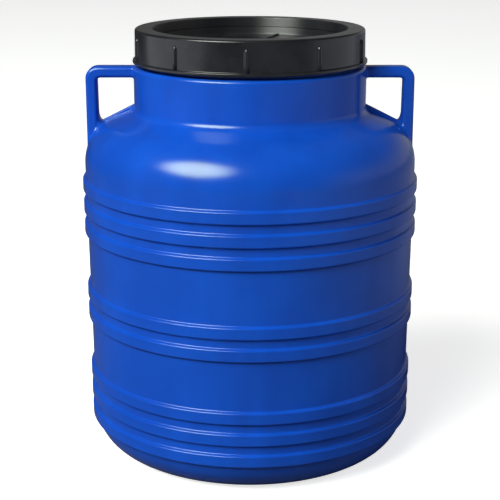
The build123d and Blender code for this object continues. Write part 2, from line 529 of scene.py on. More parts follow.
class SectionTurner(Generator):
    """Turns a section about the drum axis: a full turn, or a thread that climbs and runs out.

    A thread's ridge grows out of its root over the run-out, which starts just before the end so
    that a run-out of zero leaves the section whole.
    """

    run_out_start = -0.0001

    def __init__(self) -> None:
        """Build the tree: a grid whose rows are section points and whose columns are angles."""
        super().__init__("Turned section", {
            "Section": "NodeSocketGeometry", "Segments": "NodeSocketInt",
            "Turns": "NodeSocketFloat", "Pitch": "NodeSocketFloat",
            "Base Height": "NodeSocketFloat", "Root Radius": "NodeSocketFloat",
            "Run Out": "NodeSocketFloat", "Material": "NodeSocketMaterial"})
        add, given = self.add, self.source.outputs
        size = add("GeometryNodeAttributeDomainSize", {"component": "MESH"},
                   {"Geometry": given["Section"]}).outputs["Point Count"]
        columns = add("ShaderNodeMath", {"operation": "ADD"}, {0: given["Segments"], 1: 1.0})
        grid = add("GeometryNodeMeshGrid", None,
                   {"Vertices X": columns.outputs[0], "Vertices Y": size})
        index = add("GeometryNodeInputIndex").outputs[0]
        place = add("ShaderNodeMath", {"operation": "DIVIDE"}, {0: index, 1: size})
        column = add("ShaderNodeMath", {"operation": "FLOOR"}, {0: place.outputs[0]})
        row = add("ShaderNodeMath", {"operation": "MODULO"}, {0: index, 1: size}).outputs[0]
        share = add("ShaderNodeMath", {"operation": "DIVIDE"},
                    {0: column.outputs[0], 1: given["Segments"]}).outputs[0]
        turns = add("ShaderNodeMath", {"operation": "MULTIPLY"},
                    {0: share, 1: given["Turns"]}).outputs[0]
        rest = add("ShaderNodeMath", {"operation": "SUBTRACT"}, {0: 1.0, 1: share})
        near = add("ShaderNodeMath", {"operation": "MINIMUM"}, {0: share, 1: rest.outputs[0]})
        to_end = add("ShaderNodeMath", {"operation": "MULTIPLY"},
                     {0: near.outputs[0], 1: given["Turns"]})
        growth = add("ShaderNodeMapRange", SMOOTH,
                     {"Value": to_end.outputs[0], "From Min": self.run_out_start,
                      "From Max": given["Run Out"]}).outputs[0]
        apart = add("ShaderNodeSeparateXYZ", None, {0: self.sampled("position", row)}).outputs
        proud = add("ShaderNodeMath", {"operation": "SUBTRACT"},
                    {0: apart["X"], 1: given["Root Radius"]})
        radius = add("ShaderNodeMath", {"operation": "MULTIPLY_ADD"},
                     {0: growth, 1: proud.outputs[0], 2: given["Root Radius"]})
        climb = add("ShaderNodeMath", {"operation": "MULTIPLY_ADD"},
                    {0: turns, 1: given["Pitch"], 2: given["Base Height"]})
        height = add("ShaderNodeMath", {"operation": "MULTIPLY_ADD"},
                     {0: growth, 1: apart["Z"], 2: climb.outputs[0]})
        spoke = add("ShaderNodeCombineXYZ", None, {"X": radius.outputs[0], "Z": height.outputs[0]})
        angle = add("ShaderNodeMath", {"operation": "MULTIPLY"}, {0: turns, 1: 2.0 * math.pi})
        placed, facing = [
            add("ShaderNodeVectorRotate", {"rotation_type": "Z_AXIS"},
                {"Vector": vector, "Angle": angle.outputs[0]}).outputs[0]
            for vector in (spoke.outputs[0], self.sampled("section_normal", row))]
        moved = add("GeometryNodeSetPosition", None,
                    {"Geometry": grid.outputs["Mesh"], "Position": placed})
        noted = add("GeometryNodeStoreNamedAttribute",
                    {"data_type": "FLOAT_VECTOR", "domain": "POINT"},
                    {"Geometry": moved.outputs[0], "Name": "turned_normal", "Value": facing})
        joined = add("GeometryNodeMergeByDistance", None,
                     {"Geometry": noted.outputs[0], "Distance": MERGE_DISTANCE})
        self.end(joined.outputs[0])

    def sampled(self, name: str, row: bpy.types.NodeSocket) -> bpy.types.NodeSocket:
        """Read a vector attribute of the section.

        Args:
            name: The attribute's name.
            row: The number of the section's point.

        Returns:
            The vector there.
        """
        value = self.add("GeometryNodeInputNamedAttribute", {"data_type": "FLOAT_VECTOR"},
                         {"Name": name}).outputs["Attribute"]
        node = self.add("GeometryNodeSampleIndex", {"data_type": "FLOAT_VECTOR", "domain": "POINT"},
                        {"Geometry": self.source.outputs["Section"], "Value": value, "Index": row})
        return node.outputs[0]

    def revolve(self, name: str, section: Sequence[SectionPoint], segments: int,
                material: bpy.types.Material) -> Shell:
        """Turn a section through a full turn.

        Args:
            name: A name for the work object.
            section: The section's points.
            segments: The number of steps round the axis.
            material: The piece's material.

        Returns:
            The turned shell.
        """
        return self.run(section_object(name, section), {
            "Segments": segments, "Turns": 1.0, "Pitch": 0.0, "Base Height": 0.0,
            "Root Radius": 0.0, "Run Out": 0.0, "Material": material})

    def thread(self, name: str, ridge: "ThreadRidge", material: bpy.types.Material) -> Shell:
        """Turn a thread's ridge along its helix, from +X and right-handed.

        Args:
            name: A name for the work object.
            ridge: The ridge's sizes.
            material: The piece's material.

        Returns:
            The thread's shell.
        """
        return self.run(section_object(name, ridge.section()), {
            "Segments": int(ridge.turns * ridge.segments), "Turns": ridge.turns,
            "Pitch": ridge.pitch * MM, "Base Height": ridge.height * MM,
            "Root Radius": ridge.root_radius * MM, "Run Out": ridge.run_out, "Material": material})


class CopyRing(Generator):
    """Sets equal copies of a detail round the drum axis."""

    def __init__(self) -> None:
        """Build the tree: points at the axis, each with the copy turned to its angle."""
        super().__init__("Copies in a ring", {
            "Copy": "NodeSocketGeometry", "Count": "NodeSocketInt",
            "First Angle": "NodeSocketFloat", "Material": "NodeSocketMaterial"})
        add, given = self.add, self.source.outputs
        points = add("GeometryNodePoints", None, {"Count": given["Count"]})
        index = add("GeometryNodeInputIndex").outputs[0]
        step = add("ShaderNodeMath", {"operation": "DIVIDE"}, {0: 2.0 * math.pi, 1: given["Count"]})
        angle = add("ShaderNodeMath", {"operation": "MULTIPLY_ADD"},
                    {0: index, 1: step.outputs[0], 2: given["First Angle"]})
        euler = add("ShaderNodeCombineXYZ", None, {"Z": angle.outputs[0]})
        rotation = add("FunctionNodeEulerToRotation", None, {0: euler.outputs[0]})
        copies = add("GeometryNodeInstanceOnPoints", None,
                     {"Points": points.outputs[0], "Instance": given["Copy"],
                      "Rotation": rotation.outputs[0]})
        self.end(copies.outputs[0])

    def ring(self, name: str, detail: Shell, count: int, first_angle: float,
             material: bpy.types.Material) -> Shell:
        """Copy a detail round the axis.

        Args:
            name: A name for the work object.
            detail: The detail, placed at angle zero.
            count: How many copies there are.
            first_angle: The first one's angle in degrees.
            material: The piece's material.

        Returns:
            The copies as one shell.
        """
        return self.run(shell_object(name, detail), {
            "Count": count, "First Angle": math.radians(first_angle), "Material": material})


@dataclass(frozen=True)
class ThreadRidge:
    """A screw thread's rounded trapezoid ridge and its helix."""

    root_radius: float
    height: float
    turns: float
    direction: float
    pitch: float = 8.0
    depth: float = 3.0
    root_width: float = 4.2
    crest_width: float = 2.2
    embed: float = 0.5
    edge_radius: float = 0.5
    run_out: float = 0.045
    segments: int = 180

    def section(self) -> list[SectionPoint]:
        """Return the closed section of the ridge, at height zero."""
        foot = self.root_radius - self.embed * self.direction
        crest = self.root_radius + self.depth * self.direction
        half_root, half_crest = self.root_width / 2.0, self.crest_width / 2.0
        corners = [(foot, -half_root, 0.0), (crest, -half_crest, self.edge_radius),
                   (crest, half_crest, self.edge_radius), (foot, half_root, 0.0)]
        if self.direction < 0.0:
            corners.reverse()
        return closed_section(corners)


# --------------------------------------------------------------------------------------- finishes
class Surface:
    """The shared start of every finish: a node tree with a Principled shader.

    Rub marks are so many times longer than they are apart, lie on a noise's middle value within
    their half width, and come in patches so many times their spacing.
    """

    mark_length = 9.0
    mark_half_width = 0.006
    mark_patch = 3.0
    mark_patch_span = (0.56, 0.7)

    def __init__(self, name: str) -> None:
        """Make the material and its shader.

        Args:
            name: The material's name.
        """
        self.material = bpy.data.materials.new(name)
        self.tree = cleared_tree(self.material)
        self.shader = self.add("ShaderNodeBsdfPrincipled")
        self.add("ShaderNodeOutputMaterial", None, {"Surface": self.shader.outputs[0]})
        self.place = self.add("ShaderNodeTexCoord").outputs["Object"]

    def add(self, kind: str, settings: dict[str, Any] | None = None,
            links: dict[str | int, Any] | None = None) -> bpy.types.Node:
        """Add a node to this material."""
        return add_node(self.tree, kind, settings, links)

    def dress(self, inputs: dict[str | int, Any]) -> bpy.types.Material:
        """Set or link the shader's inputs and return the material."""
        set_inputs(self.shader, inputs)
        return self.material

    def noise(self, size: float, detail: float = 2.0,
              stretch: tuple[float, float, float] = (1.0, 1.0, 1.0),
              roughness: float = 0.5) -> bpy.types.NodeSocket:
        """Add a noise whose features are a real size.

        Args:
            size: The features' size in millimetres.
            detail: The noise's octaves.
            stretch: How many times longer the features are along each axis.
            roughness: How strong the finer octaves are.

        Returns:
            The noise's value.
        """
        mapped = self.add("ShaderNodeMapping", None, {
            "Vector": self.place, "Scale": tuple(1.0 / (size * MM * s) for s in stretch)})
        return self.add("ShaderNodeTexNoise", None, {
            "Vector": mapped.outputs[0], "Scale": 1.0, "Detail": detail,
            "Roughness": roughness}).outputs["Fac"]

    def plastic_skin(self, finish: "BlowMouldedPolyethylene | MouldedPolypropylene",
                     depth: bpy.types.NodeSocket, worn: bpy.types.NodeSocket,
                     ) -> tuple[bpy.types.NodeSocket, bpy.types.NodeSocket]:
        """Colour a plastic skin and give it its gloss, clean and worn.

        Args:
            finish: The plastic's colours and gloss.
            depth: An even noise that deepens the clean colour.
            worn: How worn the skin is.

        Returns:
            The skin's colour and its roughness.
        """
        shade = self.add("ShaderNodeMapRange", SMOOTH, {
            "Value": depth, "From Min": finish.cloud_span[0], "From Max": finish.cloud_span[1]})
        clean = self.add("ShaderNodeMix", {"data_type": "RGBA"}, {
            0: shade.outputs[0], COLOUR_A: linear_colour(finish.colour),
            COLOUR_B: linear_colour(finish.deep_colour)})
        colour = self.add("ShaderNodeMix", {"data_type": "RGBA"}, {
            0: worn, COLOUR_A: clean.outputs[COLOUR_OUT],
            COLOUR_B: linear_colour(finish.rubbed_colour)})
        satin = self.add("ShaderNodeMath", {"operation": "MULTIPLY_ADD"}, {
            0: self.noise(finish.gloss_patch, 4.0), 1: finish.gloss_spread,
            2: finish.gloss - finish.gloss_spread / 2.0})
        rough = self.add("ShaderNodeMath", {"operation": "MULTIPLY_ADD"},
                         {0: worn, 1: finish.worn_dullness, 2: satin.outputs[0]})
        return colour.outputs[COLOUR_OUT], rough.outputs[0]

    def bumped(self, layers: Sequence[tuple[bpy.types.NodeSocket, float]]) -> bpy.types.NodeSocket:
        """Stack bumps on the surface.

        Args:
            layers: For each bump its height, from zero to one, and its depth in millimetres.

        Returns:
            The bumped normal.
        """
        below: dict[str | int, Any] = {}
        for height, depth in layers:
            bump = self.add("ShaderNodeBump", None, {
                "Height": height, "Distance": depth * MM, "Strength": 1.0, **below})
            below = {"Normal": bump.outputs[0]}
        return below["Normal"]

    def axis_distance(self) -> bpy.types.NodeSocket:
        """Return the distance from the drum axis in metres."""
        flat = self.add("ShaderNodeVectorMath", {"operation": "MULTIPLY"},
                        {0: self.place, 1: (1.0, 1.0, 0.0)})
        return self.add("ShaderNodeVectorMath", {"operation": "LENGTH"},
                        {0: flat.outputs[0]}).outputs["Value"]

    def scratches(self, size: float, lean: float, strength: float) -> bpy.types.NodeSocket:
        """Add sparse hairline rub marks.

        Args:
            size: The spacing of the marks in millimetres.
            lean: The turn of the marks about X in radians.
            strength: The value on a mark.

        Returns:
            The strength on a mark and zero off it.
        """
        mapped = self.add("ShaderNodeMapping", None, {
            "Vector": self.place, "Rotation": (lean, lean * 0.6, lean * 1.7),
            "Scale": tuple(1.0 / (size * MM * s) for s in (1.0, self.mark_length, 1.0))})
        lines = self.add("ShaderNodeTexNoise", None, {
            "Vector": mapped.outputs[0], "Scale": 1.0, "Detail": 1.0,
            "Distortion": 0.6}).outputs["Fac"]
        shifted = self.add("ShaderNodeMath", {"operation": "SUBTRACT"}, {0: lines, 1: 0.5})
        distance = self.add("ShaderNodeMath", {"operation": "ABSOLUTE"}, {0: shifted.outputs[0]})
        thin = self.add("ShaderNodeMapRange", SMOOTH, {
            "Value": distance.outputs[0], "From Max": self.mark_half_width,
            "To Min": 1.0, "To Max": 0.0})
        patches = self.add("ShaderNodeMapRange", SMOOTH, {
            "Value": self.noise(size * self.mark_patch, 1.0), "From Min": self.mark_patch_span[0],
            "From Max": self.mark_patch_span[1], "To Max": strength})
        return self.add("ShaderNodeMath", {"operation": "MULTIPLY"},
                        {0: thin.outputs[0], 1: patches.outputs[0]}).outputs[0]


@dataclass(frozen=True)
class BlowMouldedPolyethylene:
    """High-density polyethylene, blown into a mould that was blasted smooth: a satin gloss.

    The skin keeps the mould's slight orange peel and a slow unevenness where it cooled, and rubs
    paler on the hoops' crests. Its sheen is tinted a little so that it stays clear of violet
    over the strong blue. Sizes are millimetres, and shares run from zero to one.
    """

    name: str = "Blow-moulded polyethylene, blue"
    colour: str = "#1152CB"
    deep_colour: str = "#0F4ABD"
    rubbed_colour: str = "#2F6CD6"
    sheen_tint: str = "#F2FFD2"
    ior: float = 1.52
    gloss: float = 0.19
    gloss_spread: float = 0.10
    gloss_patch: float = 38.0
    cloud_size: float = 90.0
    cloud_span: tuple[float, float] = (0.36, 0.64)
    streak_size: float = 26.0
    streak_length: float = 7.0
    streak_share: float = 0.35
    rub_size: float = 7.0
    rub_stretch: tuple[float, float, float] = (1.0, 1.0, 0.5)
    rub_span: tuple[float, float] = (0.56, 0.74)
    rub_reach: float = 0.9
    rub_share: float = 0.12
    scratch_spacing: float = 14.0
    scratch_lean: float = 0.5
    scratch_share: float = 0.14
    worn_dullness: float = 0.35
    peel_size: float = 1.6
    peel_depth: float = 0.006
    cooling_size: float = 55.0
    cooling_depth: float = 0.22
    seam_width: float = 0.5
    seam_height: float = 0.18
    wall_radius: float = 182.4
    wall_flare: float = math.tan(math.radians(0.72))
    hoop_projection: float = 3.4

    def wear(self, surface: Surface, height: bpy.types.NodeSocket) -> bpy.types.NodeSocket:
        """Add the rubs on the hoops' crests and the hairline marks.

        Args:
            surface: The finish that gets them.
            height: The height above the floor.

        Returns:
            How worn the skin is.
        """
        wall = surface.add("ShaderNodeMath", {"operation": "MULTIPLY_ADD"},
                           {0: height, 1: self.wall_flare, 2: self.wall_radius * MM})
        proud = surface.add("ShaderNodeMath", {"operation": "SUBTRACT"},
                            {0: surface.axis_distance(), 1: wall.outputs[0]})
        crest = surface.add("ShaderNodeMapRange", SMOOTH, {
            "Value": proud.outputs[0], "From Min": (self.hoop_projection - self.rub_reach) * MM,
            "From Max": self.hoop_projection * MM})
        patches = surface.add("ShaderNodeMapRange", SMOOTH, {
            "Value": surface.noise(self.rub_size, 4.0, self.rub_stretch, 0.7),
            "From Min": self.rub_span[0], "From Max": self.rub_span[1], "To Max": self.rub_share})
        rubbed = surface.add("ShaderNodeMath", {"operation": "MULTIPLY"},
                             {0: crest.outputs[0], 1: patches.outputs[0]})
        marks = surface.scratches(self.scratch_spacing, self.scratch_lean, self.scratch_share)
        return surface.add("ShaderNodeMath", {"operation": "MAXIMUM"},
                           {0: rubbed.outputs[0], 1: marks}).outputs[0]

    def material(self) -> bpy.types.Material:
        """Build the material."""
        surface = Surface(self.name)
        add = surface.add
        apart = add("ShaderNodeSeparateXYZ", None, {0: surface.place}).outputs
        clouds = surface.noise(self.cloud_size, 3.0)
        streaks = surface.noise(self.streak_size, 2.0, (1.0, 1.0, self.streak_length))
        depth = add("ShaderNodeMix", {"data_type": "FLOAT"},
                    {0: self.streak_share, NUMBER_A: clouds, NUMBER_B: streaks})
        worn = self.wear(surface, apart["Z"])
        colour, rough = surface.plastic_skin(self, depth.outputs[0], worn)
        off_seam = add("ShaderNodeMath", {"operation": "ABSOLUTE"}, {0: apart["Y"]})
        seam = add("ShaderNodeMapRange", SMOOTH, {
            "Value": off_seam.outputs[0], "From Max": self.seam_width * MM,
            "To Min": 1.0, "To Max": 0.0})
        normal = surface.bumped([(surface.noise(self.cooling_size, 1.0), self.cooling_depth),
                                 (surface.noise(self.peel_size, 2.0), self.peel_depth),
                                 (seam.outputs[0], self.seam_height)])
        return surface.dress({"IOR": self.ior, "Specular Tint": linear_colour(self.sheen_tint),
                              "Base Color": colour, "Roughness": rough, "Normal": normal})


@dataclass(frozen=True)
class MouldedPolypropylene:
    """Black polypropylene, injection moulded: satin, with flow lines across the walls.

    The dish's wall is moulded on a core turned in a lathe. The turning marks are too fine to draw
    one by one, so they are a stretched gloss that pulls each light out into an upright band.
    Sizes are millimetres, and shares run from zero to one.
    """

    name: str = "Injection-moulded polypropylene, black"
    colour: str = "#242428"
    deep_colour: str = "#1B1B1F"
    rubbed_colour: str = "#3C3E42"
    ior: float = 1.52
    gloss: float = 0.17
    gloss_spread: float = 0.10
    gloss_patch: float = 16.0
    grain_size: float = 0.9
    grain_depth: float = 0.0015
    flow_size: float = 2.6
    flow_length: float = 22.0
    flow_depth: float = 0.012
    flow_dullness: float = 0.08
    cloud_size: float = 30.0
    cloud_span: tuple[float, float] = (0.35, 0.65)
    rub_size: float = 3.5
    rub_stretch: tuple[float, float, float] = (1.6, 1.6, 1.0)
    rub_span: tuple[float, float] = (0.62, 0.78)
    rub_share: float = 0.06
    scratch_spacing: float = 9.0
    scratch_lean: float = 1.1
    scratch_share: float = 0.16
    worn_dullness: float = 0.3
    turned_from: float = 105.6
    turned_to: float = 109.4
    turned_fade: float = 0.6
    turned_gloss: float = 0.42
    turned_spread: float = 0.16
    turned_stretch: float = 0.98
    turned_sheen: float = 0.5
    band_width: float = 1.3
    band_length: float = 90.0

    def dish_wall(self, surface: Surface) -> bpy.types.NodeSocket:
        """Pick the dish's wall out.

        Args:
            surface: The finish.

        Returns:
            One on the dish's wall and zero off it.
        """
        distance = surface.axis_distance()
        outside = surface.add("ShaderNodeMapRange", SMOOTH, {
            "Value": distance, "From Min": (self.turned_from - self.turned_fade) * MM,
            "From Max": self.turned_from * MM})
        inside = surface.add("ShaderNodeMapRange", SMOOTH, {
            "Value": distance, "From Min": self.turned_to * MM,
            "From Max": (self.turned_to + self.turned_fade) * MM, "To Min": 1.0, "To Max": 0.0})
        return surface.add("ShaderNodeMath", {"operation": "MULTIPLY"},
                           {0: outside.outputs[0], 1: inside.outputs[0]}).outputs[0]

    def material(self) -> bpy.types.Material:
        """Build the material."""
        surface = Surface(self.name)
        add = surface.add
        flow = surface.noise(self.flow_size, 3.0, (self.flow_length, self.flow_length, 1.0), 0.6)
        rubbed = add("ShaderNodeMapRange", SMOOTH, {
            "Value": surface.noise(self.rub_size, 4.0, self.rub_stretch, 0.7),
            "From Min": self.rub_span[0], "From Max": self.rub_span[1], "To Max": self.rub_share})
        marks = surface.scratches(self.scratch_spacing, self.scratch_lean, self.scratch_share)
        worn = add("ShaderNodeMath", {"operation": "MAXIMUM"},
                   {0: rubbed.outputs[0], 1: marks}).outputs[0]
        clouds = surface.noise(self.cloud_size, 3.0)
        colour, satin = surface.plastic_skin(self, clouds, worn)
        rough = add("ShaderNodeMath", {"operation": "MULTIPLY_ADD"},
                    {0: flow, 1: self.flow_dullness, 2: satin})
        dish = self.dish_wall(surface)
        bands = surface.noise(self.band_width, 2.0, (self.band_length, self.band_length, 1.0), 0.6)
        turned = add("ShaderNodeMath", {"operation": "MULTIPLY_ADD"}, {
            0: bands, 1: self.turned_spread, 2: self.turned_gloss - self.turned_spread / 2.0})
        either = add("ShaderNodeMix", {"data_type": "FLOAT"},
                     {0: dish, NUMBER_A: rough.outputs[0], NUMBER_B: turned.outputs[0]})
        stretch = add("ShaderNodeMath", {"operation": "MULTIPLY"},
                      {0: dish, 1: self.turned_stretch})
        sheen = add("ShaderNodeMath", {"operation": "MULTIPLY_ADD"},
                    {0: dish, 1: self.turned_sheen, 2: 0.5})
        upright = add("ShaderNodeCombineXYZ", None, {"Z": 1.0})
        normal = surface.bumped([(flow, self.flow_depth),
                                 (surface.noise(self.grain_size, 2.0), self.grain_depth)])
        return surface.dress({"IOR": self.ior, "Base Color": colour,
                              "Roughness": either.outputs[0], "Normal": normal,
                              "Anisotropic": stretch.outputs[0],
                              "Specular IOR Level": sheen.outputs[0],
                              "Tangent": upright.outputs[0]})


@dataclass(frozen=True)
class MouldedRubber:
    """Nitrile rubber, compression moulded: dull, faintly dusted with bloom."""

    name: str = "Moulded nitrile rubber, dark grey"
    colour: str = "#2E2F31"
    bloom_colour: str = "#4B4C4D"
    ior: float = 1.52
    dullness: float = 0.62
    bloom_size: float = 6.0
    bloom_span: tuple[float, float] = (0.42, 0.72)
    bloom_share: float = 0.5
    bloom_dullness: float = 0.15
    grain_size: float = 0.5
    grain_depth: float = 0.012

    def material(self) -> bpy.types.Material:
        """Build the material."""
        surface = Surface(self.name)
        add = surface.add
        bloom = add("ShaderNodeMapRange", SMOOTH, {
            "Value": surface.noise(self.bloom_size, 4.0, roughness=0.65),
            "From Min": self.bloom_span[0], "From Max": self.bloom_span[1]}).outputs[0]
        share = add("ShaderNodeMath", {"operation": "MULTIPLY"}, {0: bloom, 1: self.bloom_share})
        colour = add("ShaderNodeMix", {"data_type": "RGBA"}, {
            0: share.outputs[0], COLOUR_A: linear_colour(self.colour),
            COLOUR_B: linear_colour(self.bloom_colour)})
        rough = add("ShaderNodeMath", {"operation": "MULTIPLY_ADD"},
                    {0: bloom, 1: self.bloom_dullness, 2: self.dullness})
        normal = surface.bumped([(surface.noise(self.grain_size, 3.0), self.grain_depth)])
        return surface.dress({"IOR": self.ior, "Base Color": colour.outputs[COLOUR_OUT],
                              "Roughness": rough.outputs[0], "Normal": normal})


@dataclass(frozen=True)
class Finishes:
    """The materials of the whole drum, each built once."""

    drum: bpy.types.Material
    lid: bpy.types.Material
    gasket: bpy.types.Material


@dataclass(frozen=True)
class Tools:
    """The two Geometry Nodes trees that the pieces share."""

    turner: SectionTurner
    copier: CopyRing


def add_piece(name: str, shell: Shell, material: bpy.types.Material, body: str, slot: Slot,
              *nodes: str) -> bpy.types.Object:
    """Make a finished piece and tie it to the model.

    Args:
        name: The piece's name.
        shell: Its shape, in place.
        material: Its material.
        body: The body it rides on.
        slot: The record's material slot.
        nodes: The CAD nodes it stands for.

    Returns:
        The piece.
    """
    piece = shell_object(name, shell)
    piece.data.materials.append(material)
    PIECES[slot].append(piece)
    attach(piece, body)
    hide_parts(*nodes)
    LOG.info("%s: %d faces on body %s", name, len(piece.data.polygons), body)
    return piece


# ------------------------------------------------------------------------------------ the moulding
@dataclass
class DrumMoulding:
    """The blue moulding: a hooped body with a shoulder, a collar and a threaded neck."""

    wall_thickness: float = 2.8
    foot_radius: float = 182.4
    wall_flare: float = math.tan(math.radians(0.72))
    base_corner: float = 45.0
    recess_height: float = 7.0
    recess_radius: float = 104.0
    ring_radius: float = 118.0
    base_blend: float = 4.0
    shoulder_radius: float = 187.053
    shoulder_height: float = 370.244
    shoulder_bend: float = 51.0
    collar_radius: float = 130.0
    collar_root: float = 392.6
    collar_root_bend: float = 10.0
    collar_top: float = 443.0
    collar_edge: float = 4.0
    cut_height: float = 399.422
    neck_radius: float = 118.5
    neck_bore: float = 113.5
    neck_root_bend: float = 0.8
    lip_height: float = 466.91
    lip_edge: float = 1.2
    hoop_heights: tuple[float, ...] = (43.8, 68.4, 93.0, 163.7, 188.3, 262.8, 287.4, 312.0)
    hoop_height: float = 15.6
    hoop_projection: float = 3.4
    hoop_rise: float = 1.7
    hoop_root_bend: float = 1.8
    hoop_crest_bend: float = 1.8
    inner_bend: float = 0.8
    ledge_bend: float = 1.2
    foot_clearance: float = 1.6
    thread: ThreadRidge = ThreadRidge(118.5, 449.0, 1.85, 1.0)
    segments: int = 216
    neck_segments: int = 200

    def wall_at(self, height: float) -> float:
        """Return the wall's radius between the hoops at a height."""
        return self.foot_radius + self.wall_flare * height

    def foot_arc_at(self, height: float, inset: float) -> float:
        """Find the rounded foot's radius.

        Args:
            height: A height below the rounding's end.
            inset: How far inside the outer skin it lies.

        Returns:
            The radius.
        """
        sideways = self.base_corner * math.hypot(1.0, self.wall_flare)
        centre = self.wall_at(self.base_corner) - sideways
        bend = self.base_corner - inset
        return centre + math.sqrt(bend ** 2 - (self.base_corner - height) ** 2)

    def hoop_corners(self, inset: float) -> list[Corner]:
        """Return the corners of all the hoops going up.

        Args:
            inset: How far inside the outer skin the corners lie.

        Returns:
            The corners with their rounding radii.
        """
        half = self.hoop_height / 2.0 - inset
        root_bend = self.hoop_root_bend if inset == 0.0 else self.inner_bend
        crest_bend = self.hoop_crest_bend if inset == 0.0 else self.inner_bend
        corners = []
        for height in self.hoop_heights:
            wall = self.wall_at(height) - inset
            crest = wall + self.hoop_projection
            corners += [(wall - self.wall_flare * half, height - half, root_bend),
                        (crest, height - half + self.hoop_rise, crest_bend),
                        (crest, height + half - self.hoop_rise, crest_bend),
                        (wall + self.wall_flare * half, height + half, root_bend)]
        first = corners[0]
        corners[0] = (self.foot_arc_at(first[1], inset), first[1], first[2])
        return corners

    def skin_section(self, inset: float) -> list[SectionPoint]:
        """Return a skin's section going up, from the base centre to the cut under the collar.

        Args:
            inset: How far inside the outer skin it lies.

        Returns:
            The section's points.
        """
        plain = inset_corners([(0.0, self.recess_height, 0.0),
                               (self.recess_radius, self.recess_height, self.base_blend),
                               (self.ring_radius, 0.0, self.base_blend),
                               (self.foot_radius, 0.0, self.base_corner),
                               (self.shoulder_radius, self.shoulder_height, self.shoulder_bend),
                               (self.collar_radius, self.collar_root, self.collar_root_bend),
                               (self.collar_radius, self.cut_height, 0.0)], inset)
        hoops = self.hoop_corners(inset)
        foot = [point for point in open_section(plain[:5])[:-1]
                if point.height < hoops[0][1] - self.foot_clearance]
        last = (foot[-1].radius, foot[-1].height, 0.0)
        return foot + open_section([last, *hoops, *plain[4:]])[1:]

    def neck_corners(self) -> list[Corner]:
        """Return the corners of the collar and neck, from the cut outside to the cut inside."""
        inner = self.collar_radius - self.wall_thickness
        ledge = self.collar_top - self.wall_thickness
        return [(self.collar_radius, self.cut_height, 0.0),
                (self.collar_radius, self.collar_top, self.collar_edge),
                (self.neck_radius, self.collar_top, self.neck_root_bend),
                (self.neck_radius, self.lip_height, self.lip_edge),
                (self.neck_bore, self.lip_height, self.lip_edge),
                (self.neck_bore, ledge, self.ledge_bend),
                (inner, ledge, self.ledge_bend),
                (inner, self.cut_height, 0.0)]

    def skin_above(self, lowest: float) -> OuterSkin:
        """Return the outer skin above a height, for the handles to run out onto."""
        neck = open_section(self.neck_corners())
        return OuterSkin(self.skin_section(0.0) + neck[1:8], lowest)

    def build(self, tools: Tools, finishes: Finishes) -> None:
        """Build and dress the shell and the threaded neck.

        Args:
            tools: The Geometry Nodes trees.
            finishes: The materials.
        """
        section = self.skin_section(0.0) + reversed_section(self.skin_section(self.wall_thickness))
        shell = tools.turner.revolve("drum_shell_section", section, self.segments, finishes.drum)
        add_piece("drum_shell_skin", shell, finishes.drum, "drum", Slot.DRUM, "drum_shell")
        section = open_section(self.neck_corners())
        neck = tools.turner.revolve("neck_section", section + section[:1], self.neck_segments,
                                    finishes.drum)
        neck.include(tools.turner.thread("neck_thread", self.thread, finishes.drum))
        add_piece("threaded_neck_skin", neck, finishes.drum, "drum", Slot.DRUM, "threaded_neck")


